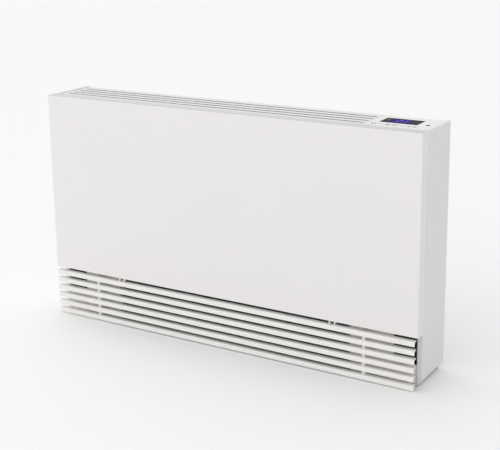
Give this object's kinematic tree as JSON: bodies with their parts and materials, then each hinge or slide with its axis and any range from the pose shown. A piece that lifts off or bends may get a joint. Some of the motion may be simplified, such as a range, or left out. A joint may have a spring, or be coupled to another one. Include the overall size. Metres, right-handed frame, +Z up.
{
  "type": "fan convector heater",
  "caption": "Slim white fan convector with a flat front cover, louvred intake at the foot, slotted outlet and touch display on top.",
  "frame": {"origin": "middle of the footprint, on the surface the uprights' feet stand on", "axes": "+X along the heater towards the controls, +Y towards the wall, +Z up"},
  "size_m": [1.01, 0.155, 0.58],
  "materials": {
    "white_enamel": "satin powder coat",
    "white_plastic": "fine satin",
    "white_blade": "white powder coat",
    "panel_plastic": "gloss",
    "galvanised": "galvanised sheet",
    "bracket_plastic": "matte",
    "fin_aluminium": "bare foil",
    "rotor_aluminium": "satin",
    "copper": "drawn copper",
    "brass": "machined",
    "shaft_steel": "ground",
    "motor_metal": "satin",
    "motor_iron": "laminated",
    "dark_plastic": "matte",
    "grey_plastic": "matte",
    "tray_plastic": "matte",
    "filter_net": "woven",
    "liner_foam": "foam",
    "dark_glass": "dark glass",
    "board_green": "solder mask",
    "component_plastic": "gloss",
    "terminal_green": "matte",
    "nylon": "nylon",
    "bronze": "sintered",
    "screw_zinc": "zinc plated"
  },
  "bodies": {
    "chassis": {"back_frame": "galvanised", "side_upright_right": "galvanised", "side_upright_left": "galvanised", "front_rail_lower": "galvanised", "front_rail_upper": "galvanised", "right_cheek": "white_plastic", "left_cheek": "white_plastic", "cover_sockets": "nylon", "grille_bracket_right": "bracket_plastic", "grille_bracket_left": "bracket_plastic", "filter_guides": "grey_plastic", "outlet_grille": "white_plastic", "control_panel": "panel_plastic", "display_glass": "dark_glass", "sensor_window": "dark_glass", "display_board": "board_green", "display_module": "component_plastic", "section_plate_left": "galvanised", "section_plate_right": "galvanised", "coil_fins": "fin_aluminium", "coil_tubes": "copper", "return_bends": "copper", "supply_header": "copper", "return_header": "copper", "supply_union": "brass", "return_union": "brass", "air_vent": "brass", "drip_tray": "tray_plastic", "fan_bearing": "bronze", "bearing_holder": "dark_plastic", "motor_housing": "motor_metal", "motor_stator": "motor_iron", "fan_volute": "galvanised", "fan_tongue": "galvanised", "electrical_box": "grey_plastic", "electrical_lid": "grey_plastic", "main_board": "board_green", "board_components": "component_plastic", "terminal_block": "terminal_green", "cable_gland": "dark_plastic", "casing_screws": "screw_zinc", "motor_screws": "screw_zinc"},
    "cover": {"front_cover": "white_enamel", "cover_liner": "liner_foam", "cover_studs": "screw_zinc"},
    "intake_grille": {"intake_blade_1": "white_blade", "intake_blade_2": "white_blade", "intake_blade_3": "white_blade", "intake_blade_4": "white_blade", "intake_blade_5": "white_blade", "intake_blade_6": "white_blade", "intake_rib_right": "white_plastic", "intake_rib_left": "white_plastic"},
    "filter": {"filter_frame": "dark_plastic", "filter_mesh": "filter_net"},
    "fan": {"fan_rotor": "rotor_aluminium", "fan_stub_shaft": "shaft_steel", "motor_shaft": "shaft_steel", "motor_magnet": "motor_iron"},
    "vent_key": {"vent_screw": "brass"}
  },
  "joints": [
    {"name": "cover_pull", "type": "slide", "parent": "chassis", "child": "cover", "axis": [0, -1, 0], "range_m": [0, 0.12]},
    {"name": "grille_pull", "type": "slide", "parent": "chassis", "child": "intake_grille", "axis": [0, -1, 0], "range_m": [0, 0.06]},
    {"name": "filter_slide", "type": "slide", "parent": "chassis", "child": "filter", "axis": [0, 0, -1], "range_m": [0, 0.11]},
    {"name": "fan_spin", "type": "hinge", "parent": "chassis", "child": "fan", "pos_m": [0, 0.008, 0.48], "axis": [1, 0, 0], "continuous": true},
    {"name": "vent_turn", "type": "hinge", "parent": "chassis", "child": "vent_key", "pos_m": [-0.4455, -0.01322, 0.4042], "axis": [-1, 0, 0], "range_deg": [0, 360]}
  ]
}
